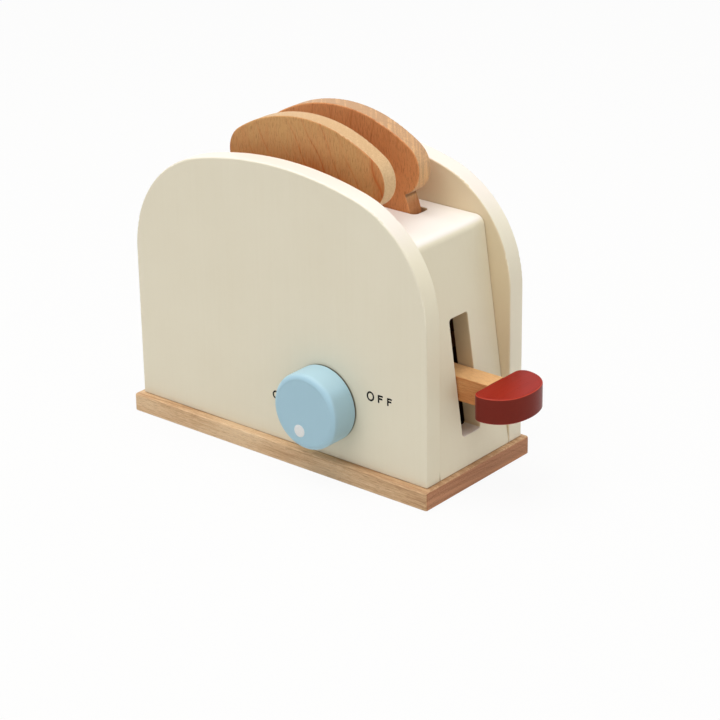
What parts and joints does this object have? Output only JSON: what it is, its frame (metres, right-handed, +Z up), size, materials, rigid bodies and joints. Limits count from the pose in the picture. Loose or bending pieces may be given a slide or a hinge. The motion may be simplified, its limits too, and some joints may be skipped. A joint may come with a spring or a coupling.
{
  "type": "toy toaster",
  "caption": "Wooden toy toaster: arched panels on a base board, slices of toast on a sprung tray, a lever that lowers them and a turning knob.",
  "frame": {"origin": "under the casing's middle, on the base board's underside, which stands on the floor", "axes": "+Z up, +X towards the lever end, -Y towards the knob side"},
  "size_m": [0.2213, 0.0939, 0.17],
  "materials": {
    "base_wood": "bare oiled beech",
    "toast_wood": "bare oiled beech",
    "lever_wood": "bare beech",
    "inner_wood": "bare beech",
    "cream_paint": "satin cream paint on wood",
    "red_paint": "semi-gloss red paint on wood",
    "blue_paint": "satin pale blue paint on wood",
    "steel": "bright zinc plated"
  },
  "bodies": {
    "housing": {"base_board": "base_wood", "base_screws": "steel", "front_panel": "cream_paint", "rear_panel": "cream_paint", "lever_end_board": "cream_paint", "plain_end_board": "cream_paint", "top_board": "cream_paint", "guide_rod_front": "steel", "guide_rod_rear": "steel", "joint_dowels": "inner_wood", "return_spring_front": "steel", "return_spring_rear": "steel"},
    "carriage": {"toast_tray": "inner_wood", "front_fence": "inner_wood", "middle_fence": "inner_wood", "rear_fence": "inner_wood", "lever_bar": "lever_wood", "lever_paddle": "red_paint", "paddle_dowel": "inner_wood", "tray_screws": "steel"},
    "turning_knob": {"knob": "blue_paint", "knob_axle": "inner_wood", "knob_washer": "steel", "knob_screw": "steel"},
    "front_slice": {"toast_front": "toast_wood"},
    "rear_slice": {"toast_rear": "toast_wood"}
  },
  "joints": [
    {"name": "lever_slide", "type": "slide", "parent": "housing", "child": "carriage", "axis": [0, 0, 1], "range_m": [-0.0132, 0.0275], "stiffness_N_per_m": 760, "springref_m": 0.0023, "deforming": ["return_spring_front", "return_spring_rear"]},
    {"name": "front_slice_lift", "type": "slide", "parent": "carriage", "child": "front_slice", "axis": [0, 0, 1], "range_m": [0, 0.09]},
    {"name": "rear_slice_lift", "type": "slide", "parent": "carriage", "child": "rear_slice", "axis": [0, 0, 1], "range_m": [0, 0.09]},
    {"name": "knob_turn", "type": "hinge", "parent": "housing", "child": "turning_knob", "pos_m": [0.0304, -0.038, 0.0374], "axis": [0, -1, 0], "continuous": true}
  ]
}
